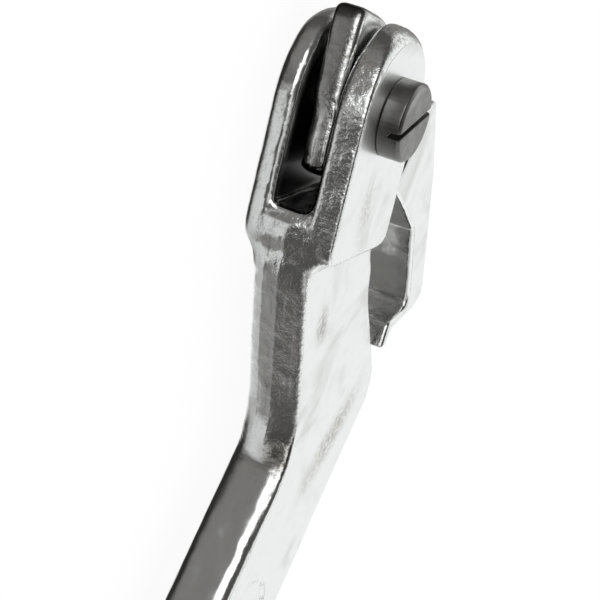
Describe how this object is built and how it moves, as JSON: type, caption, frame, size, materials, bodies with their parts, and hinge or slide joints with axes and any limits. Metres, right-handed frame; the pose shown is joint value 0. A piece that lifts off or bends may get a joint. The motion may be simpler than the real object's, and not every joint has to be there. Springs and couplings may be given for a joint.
{
  "type": "hydrant wrench",
  "caption": "Forged hydrant wrench: flat bar with a five-sided socket eye at one end and a cranked fork holding a swinging hook jaw on a slotted pivot screw.",
  "frame": {"origin": "middle of the bounding box, on the surface that the wrench lies flat on", "axes": "+X along the straight bar from the socket eye to the fork, +Z along the pivot screw towards its head, -Y on the side of the hook jaw's back"},
  "size_m": [0.3948, 0.111, 0.0248],
  "materials": {
    "plated_forging": "bright plating over forged steel, ground broad faces, orange-peel forged edges",
    "plated_jaw": "bright plating over forged steel, slightly smoother than the handle",
    "dark_screw": "turned and darkened steel, faint turning marks on the head"
  },
  "bodies": {
    "lever": {"handle": "plated_forging", "pivot_screw": "dark_screw"},
    "jaw": {"hook_jaw": "plated_jaw"}
  },
  "joints": [
    {"name": "jaw_pivot", "type": "hinge", "parent": "lever", "child": "jaw", "pos_m": [0.18056, 0.0365, 0.01], "axis": [0, 0, 1], "range_deg": [-1, 118]}
  ]
}
